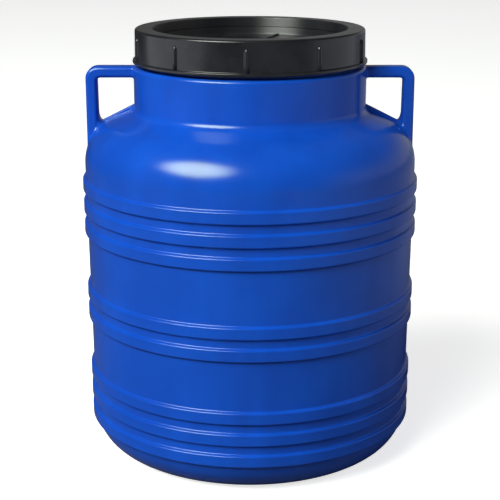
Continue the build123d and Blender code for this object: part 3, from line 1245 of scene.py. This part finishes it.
@dataclass
class Handle:
    """A moulded bail handle: a flat bar out of the collar that bends down onto the shoulder."""

    side: Side
    reach: float = 184.0
    lean: float = 0.0109
    bar: float = 12.8
    width: float = 20.0
    top: float = 441.5
    outer_bend: float = 14.0
    inner_bend: float = 4.0
    edge_bend: float = 4.4
    collar_blend: float = 3.0
    collar_blend_top: float = 1.2
    foot_blend_window: float = 20.0
    foot_blend_side: float = 6.0
    foot_blend_outer: float = 5.0
    bar_reaches: tuple[float, ...] = (137.0, 146.0, 156.0)
    leg_heights: tuple[float, ...] = (420.0, 412.0, 404.0, 397.5)
    flat_half: float = 3.3
    edge_steps: int = 6
    bend_steps: int = 12
    blend_steps: int = 7
    skin_reach: float = 60.0
    sink: float = 1.3
    web_root: float = 130.0
    web_top: float = 398.8
    web_fall: float = math.tan(math.radians(26.6))
    web_width: float = 6.0
    web_start: float = 126.5
    web_end: float = 172.5
    web_edge: float = 1.5
    web_spread: float = 2.4
    web_drop: float = 5.0
    web_steps: int = 14

    def outline(self) -> list[tuple[float, float, float, float]]:
        """Return the bar's rounded outline.

        Returns:
            For each point its place across the bar and along its width, from the middle, and the
            direction it faces.
        """
        points = []
        half_bar, half_width = self.bar / 2.0, self.width / 2.0
        for quarter in range(4):
            sign_u = 1.0 if quarter in (0, 3) else -1.0
            sign_v = 1.0 if quarter in (0, 1) else -1.0
            for step in range(self.edge_steps):
                angle = math.radians(90.0 * quarter + 90.0 * step / (self.edge_steps - 1))
                u, v = math.cos(angle), math.sin(angle)
                points.append((sign_u * (half_bar - self.edge_bend) + self.edge_bend * u,
                               sign_v * (half_width - self.edge_bend) + self.edge_bend * v, u, v))
            if quarter in (0, 2):
                points.append((0.0, sign_v * half_width, 0.0, sign_v))
            else:
                points += [(sign_u * half_bar, side * self.flat_half, sign_u, 0.0)
                           for side in (sign_v, -sign_v)]
        return points

    def station(self, inner: Vector, outer: Vector) -> tuple[list[Vector], list[Vector]]:
        """Place the outline between two points of the bar's inner and outer edge.

        Args:
            inner: The point of the inner edge, in the XZ plane.
            outer: The point of the outer edge.

        Returns:
            The points and the directions they face.
        """
        across = outer - inner
        middle = (outer + inner) / 2.0
        along = across.normalized()
        spread = across.length - self.bar
        points, normals = [], []
        for u, v, normal_u, normal_v in self.outline():
            u += math.copysign(spread / 2.0, u) if abs(u) > 1e-6 else 0.0
            points.append(middle + along * u + Vector((0.0, v, 0.0)))
            normals.append((along * normal_u + Vector((0.0, normal_v, 0.0))).normalized())
        return points, normals

    def stations(self) -> list[tuple[Vector, Vector]]:
        """Return inner and outer edge points from near the collar to above the foot."""
        bottom = self.top - self.bar
        inner_reach = self.reach - self.bar
        pairs = [(Vector((x, 0.0, bottom)), Vector((x, 0.0, self.top))) for x in self.bar_reaches]
        for step in range(self.bend_steps + 1):
            angle = math.pi / 2.0 * (1.0 - step / self.bend_steps)
            turn = Vector((math.cos(angle), 0.0, math.sin(angle)))
            inner = Vector((inner_reach - self.inner_bend, 0.0, bottom - self.inner_bend))
            outer = Vector((self.reach - self.outer_bend, 0.0, self.top - self.outer_bend))
            pairs.append((inner + turn * self.inner_bend, outer + turn * self.outer_bend))
        for height in self.leg_heights:
            outer_reach = self.reach - self.lean * (self.top - self.outer_bend - height)
            pairs.append((Vector((inner_reach, 0.0, height)), Vector((outer_reach, 0.0, height))))
        return pairs

    def run_out(self, ring: list[Vector], normals: list[Vector], direction: Vector,
                skin: OuterSkin, blends: list[float]) -> list[tuple[list[Vector], list[Vector]]]:
        """Carry a ring of points on to the drum's skin with a rounded root.

        Args:
            ring: The last ring of the bar.
            normals: The directions it faces.
            direction: The bar's direction towards the skin.
            skin: The drum's outer skin.
            blends: The size of the root's rounding at each point.

        Returns:
            The further rings with the directions they face. The last one lies inside the wall.
        """
        rows: list[tuple[list[Vector], list[Vector]]] = [
            ([], []) for _ in range(self.blend_steps + 2)]
        for place, facing, blend in zip(ring, normals, blends):
            corner = skin.meet(place, direction, self.skin_reach)
            start = corner - direction * blend
            end, end_normal, _ = skin.nearest(corner + facing * blend)
            for step in range(self.blend_steps + 1):
                share = step / self.blend_steps
                curve = (start * (1.0 - share) ** 2 + corner * 2.0 * share * (1.0 - share)
                         + end * share ** 2)
                rows[step][0].append(curve)
                rows[step][1].append(facing.lerp(end_normal, share).normalized())
            rows[-1][0].append(end - end_normal * self.sink)
            rows[-1][1].append(end_normal)
        return rows

    def blends(self, normals: list[Vector], window: float, outer: float, side: float,
               across: Vector) -> list[float]:
        """Return the root's rounding at each point of a ring.

        Args:
            normals: The directions the ring faces.
            window: The rounding towards the window.
            outer: The rounding away from it.
            side: The rounding on the bar's sides.
            across: The direction away from the window.

        Returns:
            One size for each point.
        """
        sizes = []
        for normal in normals:
            share = normal.dot(across)
            flat = outer if share > 0.0 else window
            sizes.append(flat * share ** 2 + side * (1.0 - share ** 2))
        return sizes

    def shell(self, skin: OuterSkin) -> Shell:
        """Build the handle.

        Args:
            skin: The drum's outer skin.

        Returns:
            The handle as a closed shell, on its own side.
        """
        rings = [self.station(inner, outer) for inner, outer in self.stations()]
        collar_blends = self.blends(rings[0][1], self.collar_blend, self.collar_blend_top,
                                    self.collar_blend, -DOWN)
        inwards = Vector((-1.0, 0.0, 0.0))
        start = self.run_out(rings[0][0], rings[0][1], inwards, skin, collar_blends)
        foot_blends = self.blends(rings[-1][1], self.foot_blend_window, self.foot_blend_outer,
                                  self.foot_blend_side, Vector((1.0, 0.0, 0.0)))
        end = self.run_out(rings[-1][0], rings[-1][1], DOWN, skin, foot_blends)
        rows = list(reversed(start)) + rings + end
        return self.close(rows, skin).include(self.close(self.web(skin), skin))

    def web(self, skin: OuterSkin) -> list[tuple[list[Vector], list[Vector]]]:
        """Build the low web that runs down the shoulder under the window.

        Args:
            skin: The drum's outer skin.

        Returns:
            The web's rings from the collar to the bar, with the directions they face.
        """
        half, edge = self.web_width / 2.0, self.web_edge
        # For each point of the fillet: its side, its height off the skin, how much it faces out.
        fillet = [(half + self.web_spread, -0.05, 0.9), (half + 1.0, 0.25, 0.7),
                  (half + 0.2, 1.0, 0.25), (half, 2.0, 0.05)]
        rows = []
        for step in range(self.web_steps + 1):
            reach = self.web_start + (self.web_end - self.web_start) * step / self.web_steps
            top = self.web_top - (reach - self.web_root) * self.web_fall
            foot, facing, _ = skin.nearest(
                Vector((reach, half + self.web_spread, top - self.web_drop)))
            points, normals = [foot - facing * self.sink], [facing]
            for side, rise, lift in fillet:
                foot, facing, _ = skin.nearest(Vector((reach, side, top - self.web_drop)))
                points.append(foot + facing * rise)
                normals.append((facing * lift + Vector((0.0, 1.0 - lift, 0.0))).normalized())
            for angle in (0.0, 30.0, 60.0, 90.0):
                cosine, sine = math.cos(math.radians(angle)), math.sin(math.radians(angle))
                points.append(Vector((reach, half - edge + edge * cosine,
                                      top - edge + edge * sine)))
                normals.append(Vector((self.web_fall * sine, cosine, sine)).normalized())
            mirrored = [Vector((p.x, -p.y, p.z)) for p in reversed(points)]
            mirrored_normals = [Vector((n.x, -n.y, n.z)) for n in reversed(normals)]
            rows.append((mirrored + points, mirrored_normals + normals))
        return [(list(reversed(points)), list(reversed(normals))) for points, normals in rows]

    def close(self, rows: list[tuple[list[Vector], list[Vector]]], skin: OuterSkin) -> Shell:
        """Join rings into a closed shell with both ends inside the drum's wall.

        Args:
            rows: The rings with the directions they face, on the right-hand side.
            skin: The drum's outer skin.

        Returns:
            The shell in metres, on the handle's own side.
        """
        sign = self.side.value
        count = len(rows[0][0])
        places = [point for points, _ in rows for point in points]
        facings = [normal for _, normals in rows for normal in normals]
        faces = tube_faces(len(rows), count)
        for row, turned in ((0, False), (len(rows) - 1, True)):
            surface, normal, _ = skin.nearest(sum(rows[row][0], Vector()) / count)
            for step in range(count):
                face = (row * count + step, row * count + (step + 1) % count, len(places))
                faces.append(face if turned else face[::-1])
            places.append(surface - normal * self.sink)
            facings.append(-normal)
        return Shell([Vector((p.x * sign, p.y, p.z)) * MM for p in places],
                     [face[::-1] if sign > 0.0 else face for face in faces],
                     [Vector((n.x * sign, n.y, n.z)) for n in facings])

    def build(self, skin: OuterSkin, finishes: Finishes) -> None:
        """Build and dress the handle."""
        node = f"handle_{self.side.name.lower()}"
        add_piece(f"{node}_skin", self.shell(skin), finishes.drum, "drum", Slot.DRUM, node)


# ---------------------------------------------------------------------------------------- the lid
@dataclass
class ScrewRing:
    """The black ring that screws down on the neck, with finger grips round its wall."""

    bore: float = 122.3
    wall: float = 128.3
    rim: float = 127.9
    bottom: float = 446.5
    top: float = 484.0
    top_thickness: float = 4.0
    top_edge: float = 2.6
    flange: float = 130.8
    flange_height: float = 3.8
    flange_edge: float = 1.2
    eye: float = 108.0
    lip: float = 111.5
    lip_bottom: float = 473.3
    small_edge: float = 0.5
    inner_edge: float = 1.0
    grip_count: int = 10
    grip_angle: float = -91.6
    grip_half_width: float = 2.3
    grip_projection: float = 2.4
    grip_root_bend: float = 0.8
    grip_foot: float = 448.4
    grip_top: float = 475.7
    grip_end: float = 4.6
    grip_end_steps: int = 10
    grip_plain: float = 9.0
    grip_tip_share: float = 0.02
    grip_tip_sink: float = 0.14
    grip_sink: float = 1.0
    thread: ThreadRidge = ThreadRidge(122.3, 453.0, 0.92, -1.0)
    segments: int = 256

    def corners(self) -> list[Corner]:
        """Return the closed section of the ring."""
        return [(self.bore, self.bottom, self.small_edge),
                (self.flange, self.bottom, self.flange_edge),
                (self.flange, self.bottom + self.flange_height, self.flange_edge),
                (self.wall, self.bottom + self.flange_height, self.inner_edge),
                (self.rim, self.top, self.top_edge),
                (self.eye, self.top, self.inner_edge),
                (self.eye, self.lip_bottom, self.small_edge),
                (self.lip, self.lip_bottom, self.small_edge),
                (self.lip, self.top - self.top_thickness, self.inner_edge),
                (self.bore, self.top - self.top_thickness, self.inner_edge)]

    def wall_at(self, height: float) -> float:
        """Return the wall's radius at a height."""
        foot = self.bottom + self.flange_height
        return self.wall + (self.rim - self.wall) * (height - foot) / (self.top - foot)

    def grip_profile(self) -> list[tuple[float, float]]:
        """Return half of a grip's section as side and projection, from its crown to its root."""
        points = []
        # The crown is nearly a half ellipse, and a small fillet carries it on into the wall.
        for step in range(8):
            angle = math.radians(11.0 * step)
            points.append((self.grip_half_width * math.sin(angle),
                           self.grip_projection * math.cos(angle)))
        root = self.grip_half_width + self.grip_root_bend
        return points + [(self.grip_half_width + 0.15, 0.22), (root - 0.2, 0.04), (root, -0.12)]

    def grip(self) -> Shell:
        """Build one finger grip at angle zero: a half-round rib with a rounded top."""
        half = self.grip_profile()
        profile = [(-side, out) for side, out in reversed(half[1:])] + half
        profile = [(profile[0][0], -self.grip_sink), *profile, (profile[-1][0], -self.grip_sink)]
        stations = [(self.grip_foot, 1.0), (self.grip_foot + self.grip_plain, 1.0),
                    (self.grip_top - self.grip_plain, 1.0)]
        for step in range(self.grip_end_steps + 1):
            angle = math.pi / 2.0 * step / self.grip_end_steps
            stations.append((self.grip_top - self.grip_end * (1.0 - math.sin(angle)),
                             max(math.cos(angle), self.grip_tip_share)))
        rings = []
        for height, share in stations:
            radius, buried = self.wall_at(height), self.grip_tip_sink * (1.0 - share)
            rings.append([Vector((radius + (out * share - buried if out > 0.0 else out),
                                  side * share, height)) * MM for side, out in profile])
        return lofted(rings)

    def build(self, tools: Tools, finishes: Finishes) -> None:
        """Build and dress the ring.

        Args:
            tools: The Geometry Nodes trees.
            finishes: The materials.
        """
        shell = tools.turner.revolve("ring_section", closed_section(self.corners()), self.segments,
                                     finishes.lid)
        shell.include(tools.copier.ring("grip", self.grip(), self.grip_count, self.grip_angle,
                                        finishes.lid))
        shell.include(tools.turner.thread("ring_thread", self.thread, finishes.lid))
        add_piece("screw_ring_skin", shell, finishes.lid, "ring", Slot.LID, "screw_ring")


@dataclass
class InnerCover:
    """The black dished cover that plugs the neck under the ring, stiffened by ribs on its floor."""

    floor_top: float = 464.0
    floor_underside: float = 461.0
    recess: float = 107.4
    recess_bend: float = 3.0
    eye: float = 108.0
    plug: float = 111.5
    plug_foot: float = 456.05
    skirt_inner: float = 108.5
    bead: float = 112.9
    bead_height: float = 2.0
    flange: float = 120.5
    flange_underside: float = 469.55
    flange_top: float = 472.95
    small_edge: float = 0.5
    floor_edge: float = 0.8
    skirt_root_bend: float = 1.5
    hub_outer: float = 38.0
    hub_inner: float = 34.0
    rib_count: int = 10
    rib_height: float = 2.0
    rib_width: float = 3.0
    rib_edge: float = 0.6
    rib_stations: tuple[float, ...] = (36.5, 50.0, 62.0, 80.0, 95.4, 108.0)
    gate_radius: float = 5.0
    gate_slope: float = 1.0
    gate_depth: float = 0.6
    segments: int = 200

    def corners(self) -> list[Corner]:
        """Return the cover's section, from its underside's centre to its floor's centre."""
        crown = self.floor_top + self.rib_height
        return [(0.0, self.floor_underside, 0.0),
                (self.skirt_inner, self.floor_underside, self.skirt_root_bend),
                (self.skirt_inner, self.plug_foot, self.small_edge),
                (self.bead, self.plug_foot, self.small_edge),
                (self.bead, self.plug_foot + self.bead_height / 2.0, self.small_edge),
                (self.plug, self.plug_foot + self.bead_height, self.small_edge),
                (self.plug, self.flange_underside, self.small_edge),
                (self.flange, self.flange_underside, self.small_edge),
                (self.flange, self.flange_top, self.small_edge),
                (self.eye, self.flange_top, self.floor_edge),
                (self.recess, self.floor_top, self.recess_bend),
                (self.hub_outer, self.floor_top, self.floor_edge),
                (self.hub_outer, crown, self.rib_edge),
                (self.hub_inner, crown, self.rib_edge),
                (self.hub_inner, self.floor_top, self.floor_edge),
                (self.gate_radius, self.floor_top, self.small_edge),
                (self.gate_radius - self.gate_slope, self.floor_top - self.gate_depth,
                 self.small_edge),
                (0.0, self.floor_top - self.gate_depth, 0.0)]

    def rib(self) -> Shell:
        """Build one floor rib at angle zero, from the hub ring to the recess wall."""
        half = self.rib_width / 2.0
        # A buried foot, a small fillet, the side, and then the rounded edge.
        profile = [(half + 0.7, -0.4), (half + 0.7, 0.0), (half + 0.25, 0.12), (half, 0.5)]
        for step in range(4):
            angle = math.radians(30.0 * step)
            profile.append((half - self.rib_edge + self.rib_edge * math.cos(angle),
                            self.rib_height - self.rib_edge + self.rib_edge * math.sin(angle)))
        profile += [(-side, rise) for side, rise in reversed(profile)]
        return lofted([[Vector((radius, side, self.floor_top + rise)) * MM
                        for side, rise in profile] for radius in self.rib_stations])

    def build(self, tools: Tools, finishes: Finishes) -> None:
        """Build and dress the cover.

        Args:
            tools: The Geometry Nodes trees.
            finishes: The materials.
        """
        shell = tools.turner.revolve("cover_section", open_section(self.corners()), self.segments,
                                     finishes.lid)
        shell.include(tools.copier.ring("rib", self.rib(), self.rib_count, 0.0, finishes.lid))
        add_piece("inner_cover_skin", shell, finishes.lid, "cover", Slot.LID, "inner_cover")


@dataclass
class Gasket:
    """The flat rubber ring between the neck's lip and the cover."""

    bore: float = 112.1
    outer: float = 118.2
    bottom: float = 467.21
    thickness: float = 2.0
    edge: float = 0.7
    segments: int = 160

    def build(self, tools: Tools, finishes: Finishes) -> None:
        """Build and dress the gasket.

        Args:
            tools: The Geometry Nodes trees.
            finishes: The materials.
        """
        top = self.bottom + self.thickness
        corners = [(self.bore, self.bottom, self.edge), (self.outer, self.bottom, self.edge),
                   (self.outer, top, self.edge), (self.bore, top, self.edge)]
        shell = tools.turner.revolve("gasket_section", closed_section(corners), self.segments,
                                     finishes.gasket)
        add_piece("gasket_skin", shell, finishes.gasket, "gasket", Slot.GASKET, "gasket")


# ---------------------------------------------------------------------------------------- studio
@dataclass(frozen=True)
class SoftBox:
    """A studio light, aimed at a point, bright in its middle and fading towards its edges."""

    name: str
    place: tuple[float, float, float]
    target: tuple[float, float, float]
    width: float
    height: float
    radiance: float
    colour: str
    core: float
    reflected: bool = True
    lit_slot: Slot | None = None

    def build(self) -> None:
        """Add the light to the scene."""
        lamp = bpy.data.lights.new(self.name, "AREA")
        lamp.shape = "RECTANGLE"
        lamp.size, lamp.size_y = self.width, self.height
        lamp.energy = self.radiance * math.pi * self.width * self.height
        lamp.color = linear_colour(self.colour)[:3]
        tree = cleared_tree(lamp)
        spot = add_node(tree, "ShaderNodeTexCoord").outputs["UV"]
        from_middle = add_node(tree, "ShaderNodeVectorMath", {"operation": "DISTANCE"},
                               {0: spot, 1: (0.5, 0.5, 0.0)}).outputs["Value"]
        fade = add_node(tree, "ShaderNodeMapRange", SMOOTH, {
            "Value": from_middle, "From Min": self.core, "From Max": 0.5,
            "To Min": 1.0, "To Max": 0.0})
        glow = add_node(tree, "ShaderNodeEmission", None, {"Strength": fade.outputs[0]})
        add_node(tree, "ShaderNodeOutputLight", None, {"Surface": glow.outputs[0]})
        holder = linked_object(self.name, lamp)
        aim = Vector(self.target) - Vector(self.place)
        holder.rotation_euler = aim.to_track_quat("-Z", "Y").to_euler()
        holder.location = self.place
        holder.visible_glossy = self.reflected
        if self.lit_slot is not None:
            lit = bpy.data.collections.new(f"{self.name} receivers")
            for piece in PIECES[self.lit_slot]:
                lit.objects.link(piece)
            holder.light_linking.receiver_collection = lit


@dataclass
class Studio:
    """The pale floor, the lights and the camera. Lengths are metres."""

    floor_size: float = 16.0
    floor_colour: str = "#F4F4F4"
    floor_glow: float = 0.72
    mirrored_grey: tuple[float, float, float, float] = (0.12, 0.12, 0.13, 1.0)
    mirrored_card_colour: str = "#DFE9FF"
    mirrored_card_glow: float = 0.22
    mirrored_card_span: tuple[float, float] = (0.25, 0.9)
    room_glow: float = 0.05
    side_glow: float = 0.32
    side_direction: tuple[float, float, float] = (0.88, 0.47, 0.0)
    side_span: tuple[float, float] = (0.1, 0.95)
    low_span: tuple[float, float] = (0.1, 0.5)
    high_share: float = 0.15
    camera_place: tuple[float, float, float] = (0.0, -1.4896, 0.6435)
    camera_pitch: float = 15.617
    view_angle: float = 21.276
    sensor_width: float = 36.0
    clip_start: float = 0.05
    boxes: tuple[SoftBox, ...] = (
        SoftBox("Key soft box", (-2.32, -2.56, 3.14), (0.0, 0.0, 0.30), 4.60, 3.40,
                14.2, "#F8FEF4", 0.20),
        SoftBox("Left fill", (-1.55, -0.42, 0.34), (0.0, 0.0, 0.24), 1.20, 1.20,
                0.7, "#FFFFFF", 0.45, reflected=False),
        SoftBox("Right fill", (1.50, -0.50, 0.40), (0.0, 0.0, 0.20), 1.20, 1.20,
                1.0, "#FFFFFF", 0.45, reflected=False),
        SoftBox("Lid card left", (-1.60, -0.25, 0.38), (0.0, 0.0, 0.38), 3.00, 0.74,
                0.9, "#EEF3FF", 0.40, lit_slot=Slot.LID),
        SoftBox("Lid card right", (1.60, 0.10, 0.38), (0.0, 0.0, 0.38), 2.20, 0.74,
                0.4, "#F4F4FF", 0.40, lit_slot=Slot.LID),
    )

    def floor_material(self) -> bpy.types.Material:
        """Build the floor's paper: pale to the eye, and dim to the plastic that mirrors it.

        Returns:
            The material. On the right, what the plastic mirrors has a faint card's glow.
        """
        material = bpy.data.materials.new("Studio paper, white")
        tree = cleared_tree(material)
        paper = add_node(tree, "ShaderNodeBsdfDiffuse", None,
                         {"Color": linear_colour(self.floor_colour)})
        glow = add_node(tree, "ShaderNodeEmission", None,
                        {"Color": WHITE, "Strength": self.floor_glow})
        seen = add_node(tree, "ShaderNodeAddShader", None,
                        {0: paper.outputs[0], 1: glow.outputs[0]})
        place = add_node(tree, "ShaderNodeTexCoord").outputs["Object"]
        apart = add_node(tree, "ShaderNodeSeparateXYZ", None, {0: place})
        right = add_node(tree, "ShaderNodeMapRange", SMOOTH, {
            "Value": apart.outputs["X"], "From Min": self.mirrored_card_span[0],
            "From Max": self.mirrored_card_span[1], "To Max": self.mirrored_card_glow})
        card = add_node(tree, "ShaderNodeEmission", None, {
            "Color": linear_colour(self.mirrored_card_colour), "Strength": right.outputs[0]})
        grey = add_node(tree, "ShaderNodeBsdfDiffuse", None, {"Color": self.mirrored_grey})
        mirrored = add_node(tree, "ShaderNodeAddShader", None,
                            {0: grey.outputs[0], 1: card.outputs[0]})
        path = add_node(tree, "ShaderNodeLightPath").outputs["Is Camera Ray"]
        both = add_node(tree, "ShaderNodeMixShader", None,
                        {0: path, 1: mirrored.outputs[0], 2: seen.outputs[0]})
        add_node(tree, "ShaderNodeOutputMaterial", None, {"Surface": both.outputs[0]})
        return material

    def floor(self) -> None:
        """Add the floor."""
        half = self.floor_size / 2.0
        mesh = bpy.data.meshes.new("studio_floor")
        mesh.from_pydata([(-half, -half, 0.0), (half, -half, 0.0), (half, half, 0.0),
                          (-half, half, 0.0)], [], [(0, 1, 2, 3)])
        mesh.materials.append(self.floor_material())
        linked_object("studio_floor", mesh)

    def world(self) -> None:
        """Add the surroundings: white behind everything, and a dim room that glows on one side."""
        world = bpy.data.worlds.new("studio")
        tree = cleared_tree(world)
        direction = add_node(tree, "ShaderNodeTexCoord").outputs["Generated"]
        apart = add_node(tree, "ShaderNodeSeparateXYZ", None, {0: direction})
        across = add_node(tree, "ShaderNodeVectorMath", {"operation": "DOT_PRODUCT"},
                          {0: direction, 1: self.side_direction}).outputs["Value"]
        side = add_node(tree, "ShaderNodeMapRange", SMOOTH, {
            "Value": across, "From Min": self.side_span[0], "From Max": self.side_span[1],
            "To Max": self.side_glow})
        low = add_node(tree, "ShaderNodeMapRange", SMOOTH, {
            "Value": apart.outputs["Z"], "From Min": self.low_span[0],
            "From Max": self.low_span[1], "To Min": 1.0, "To Max": self.high_share})
        room = add_node(tree, "ShaderNodeMath", {"operation": "MULTIPLY_ADD"},
                        {0: side.outputs[0], 1: low.outputs[0], 2: self.room_glow})
        path = add_node(tree, "ShaderNodeLightPath").outputs["Is Camera Ray"]
        strength = add_node(tree, "ShaderNodeMath", {"operation": "MAXIMUM"},
                            {0: room.outputs[0], 1: path})
        glow = add_node(tree, "ShaderNodeBackground", None,
                        {"Color": WHITE, "Strength": strength.outputs[0]})
        add_node(tree, "ShaderNodeOutputWorld", None, {"Surface": glow.outputs[0]})
        bpy.context.scene.world = world

    def camera(self) -> None:
        """Add the camera in front of the drum, looking down on it a little."""
        lens = bpy.data.cameras.new("camera")
        lens.sensor_width = self.sensor_width
        lens.angle = math.radians(self.view_angle)
        lens.clip_start = self.clip_start
        holder = linked_object("camera", lens)
        holder.location = self.camera_place
        holder.rotation_euler = (math.radians(90.0 - self.camera_pitch), 0.0, 0.0)
        bpy.context.scene.camera = holder

    def build(self) -> None:
        """Set the whole studio up."""
        self.floor()
        self.world()
        self.camera()
        for box in self.boxes:
            box.build()
        bpy.context.scene.view_settings.view_transform = "Standard"
        bpy.context.scene.view_settings.look = "None"
        LOG.info("studio: %d lights", len(self.boxes))


def main() -> None:
    """Build every piece in order, then the studio, and note the sizes."""
    finishes = Finishes(BlowMouldedPolyethylene().material(), MouldedPolypropylene().material(),
                        MouldedRubber().material())
    tools = Tools(SectionTurner(), CopyRing())
    moulding = DrumMoulding()
    moulding.build(tools, finishes)
    skin = moulding.skin_above(SHOULDER_FOOT)
    for side in Side:
        Handle(side).build(skin, finishes)
    Gasket().build(tools, finishes)
    InnerCover().build(tools, finishes)
    ScrewRing().build(tools, finishes)
    Studio().build()


if __name__ == "__main__":
    main()
